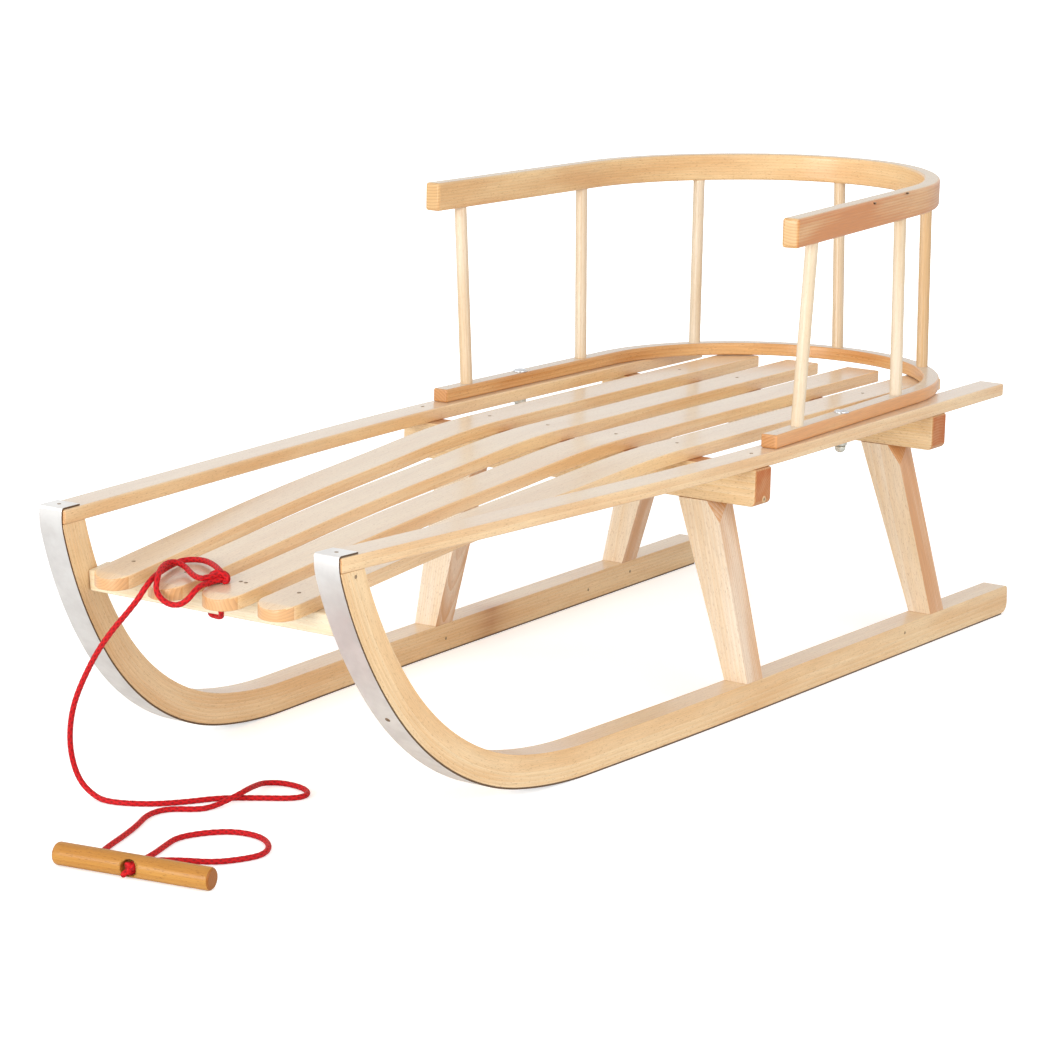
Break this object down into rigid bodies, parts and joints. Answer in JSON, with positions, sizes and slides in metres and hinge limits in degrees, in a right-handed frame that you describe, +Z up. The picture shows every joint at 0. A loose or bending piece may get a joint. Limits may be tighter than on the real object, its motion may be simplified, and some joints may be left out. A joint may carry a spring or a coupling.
{
  "type": "child's wooden sled",
  "caption": "Child's beech sled with bent runners, slatted seat, railed backrest, and a red tow cord with a wooden handle.",
  "frame": {"origin": "on the ground under the middle of the sled, without its tow cord", "axes": "+X forward to the horns, +Y to the rider's left, +Z up from the ground"},
  "size_m": [1.1733, 0.377, 0.42],
  "materials": {
    "beech": "satin",
    "beech_dark": "satin",
    "beech_pale": "satin",
    "galvanised_strip": "satin",
    "zinc_fixings": "satin",
    "red_cord": "matte"
  },
  "bodies": {
    "root": {"backrest_bolt_left": "zinc_fixings", "backrest_bolt_right": "zinc_fixings", "backrest_bottom_bow": "beech_dark", "backrest_top_bow": "beech", "bolster_front": "beech", "bolster_rear": "beech", "cap_nut_left": "zinc_fixings", "cap_nut_right": "zinc_fixings", "front_crossbar": "beech_pale", "handle_knot": "red_cord", "leg_front_left": "beech", "leg_front_right": "beech", "leg_rear_left": "beech", "leg_rear_right": "beech", "runner_left": "beech", "runner_right": "beech", "runner_strip_left": "galvanised_strip", "runner_strip_right": "galvanised_strip", "side_rail_left": "beech", "side_rail_right": "beech", "slat_1": "beech", "slat_2": "beech", "slat_3": "beech", "slat_4": "beech", "spindle_1": "beech_pale", "spindle_2": "beech_pale", "spindle_3": "beech_pale", "spindle_4": "beech_pale", "spindle_5": "beech_pale", "spindle_6": "beech_pale", "spindle_7": "beech_pale", "tow_cord": "red_cord", "tow_handle": "beech_dark", "tow_hitch": "red_cord", "tow_knot": "red_cord", "tow_loop": "red_cord"}
  },
  "joints": []
}
